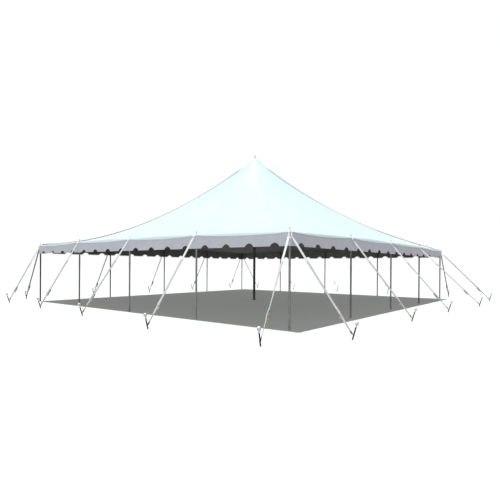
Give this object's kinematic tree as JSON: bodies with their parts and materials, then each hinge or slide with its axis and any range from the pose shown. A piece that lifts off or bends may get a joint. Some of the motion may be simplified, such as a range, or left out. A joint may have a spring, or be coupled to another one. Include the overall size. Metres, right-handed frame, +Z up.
{
  "type": "marquee tent",
  "caption": "Square pole tent: one tall centre pole, side poles round the eave, a swept vinyl roof with a notched valance, and ratchet guys to leaning stakes.",
  "frame": {"origin": "on the ground under the centre pole, at the middle of its foot", "axes": "+Z up, -Y the front side with the longest front guys, +X the right side with the longest guys; the four sides lie square to X and Y"},
  "size_m": [16.05, 15.8562, 6.25],
  "materials": {
    "roof_vinyl": "white coated vinyl, satin, lightly creased",
    "valance_vinyl": "white coated vinyl, satin, bound at the lower edge",
    "aluminium_tube": "mill finish, scuffed",
    "centre_pole_paint": "dark satin",
    "white_webbing": "woven polyester webbing with zinc plated ratchets",
    "stake_steel": "forged steel, dark, lightly rusted"
  },
  "bodies": {
    "root": {"canopy": "roof_vinyl", "valance": "valance_vinyl", "centre_pole": "centre_pole_paint", "side_pole_front_1": "aluminium_tube", "side_pole_front_2": "aluminium_tube", "side_pole_front_3": "aluminium_tube", "side_pole_front_4": "aluminium_tube", "side_pole_right_1": "aluminium_tube", "side_pole_right_2": "aluminium_tube", "side_pole_right_3": "aluminium_tube", "side_pole_right_4": "aluminium_tube", "side_pole_back_1": "aluminium_tube", "side_pole_back_2": "aluminium_tube", "side_pole_back_3": "aluminium_tube", "side_pole_back_4": "aluminium_tube", "side_pole_left_1": "aluminium_tube", "side_pole_left_2": "aluminium_tube", "side_pole_left_3": "aluminium_tube", "side_pole_left_4": "aluminium_tube", "guy_front_1": "white_webbing", "guy_front_2": "white_webbing", "guy_front_3": "white_webbing", "guy_front_4": "white_webbing", "guy_front_5": "white_webbing", "guy_right_1": "white_webbing", "guy_right_2": "white_webbing", "guy_right_3": "white_webbing", "guy_right_4": "white_webbing", "guy_right_5": "white_webbing", "guy_back_1": "white_webbing", "guy_back_2": "white_webbing", "guy_back_3": "white_webbing", "guy_back_4": "white_webbing", "guy_back_5": "white_webbing", "guy_left_1": "white_webbing", "guy_left_2": "white_webbing", "guy_left_3": "white_webbing", "guy_left_4": "white_webbing", "guy_left_5": "white_webbing", "stake_front_1": "stake_steel", "stake_front_2": "stake_steel", "stake_front_3": "stake_steel", "stake_front_4": "stake_steel", "stake_front_5": "stake_steel", "stake_right_1": "stake_steel", "stake_right_2": "stake_steel", "stake_right_3": "stake_steel", "stake_right_4": "stake_steel", "stake_right_5": "stake_steel", "stake_back_1": "stake_steel", "stake_back_2": "stake_steel", "stake_back_3": "stake_steel", "stake_back_4": "stake_steel", "stake_back_5": "stake_steel", "stake_left_1": "stake_steel", "stake_left_2": "stake_steel", "stake_left_3": "stake_steel", "stake_left_4": "stake_steel", "stake_left_5": "stake_steel"}
  },
  "joints": []
}
